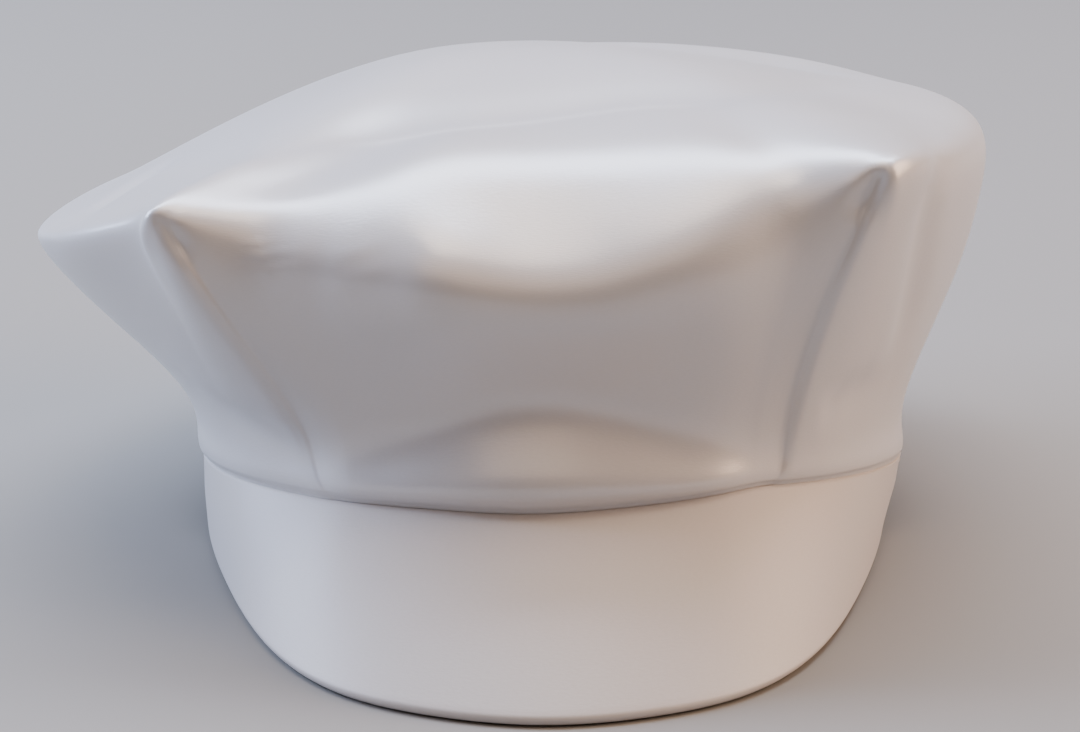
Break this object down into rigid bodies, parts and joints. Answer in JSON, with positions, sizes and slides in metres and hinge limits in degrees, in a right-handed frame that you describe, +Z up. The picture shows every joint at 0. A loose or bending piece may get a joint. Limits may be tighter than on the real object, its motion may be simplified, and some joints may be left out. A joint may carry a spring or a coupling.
{
  "type": "christening hat",
  "caption": "Baby's white satin christening hat with a puffed crown, a front panel between two knife pleats and a wide turned-down peak.",
  "frame": {"origin": "on the surface that the hat rests on, under the middle of its outline", "axes": "+Z up, -Y towards the front of the peak, +X to the right seen from the front"},
  "size_m": [0.1798, 0.2104, 0.0899],
  "materials": {
    "crown_satin": "white polyester satin, soft sheen",
    "peak_satin": "white polyester satin over a stiffener, soft sheen"
  },
  "bodies": {
    "root": {"crown": "crown_satin", "peak": "peak_satin"}
  },
  "joints": []
}
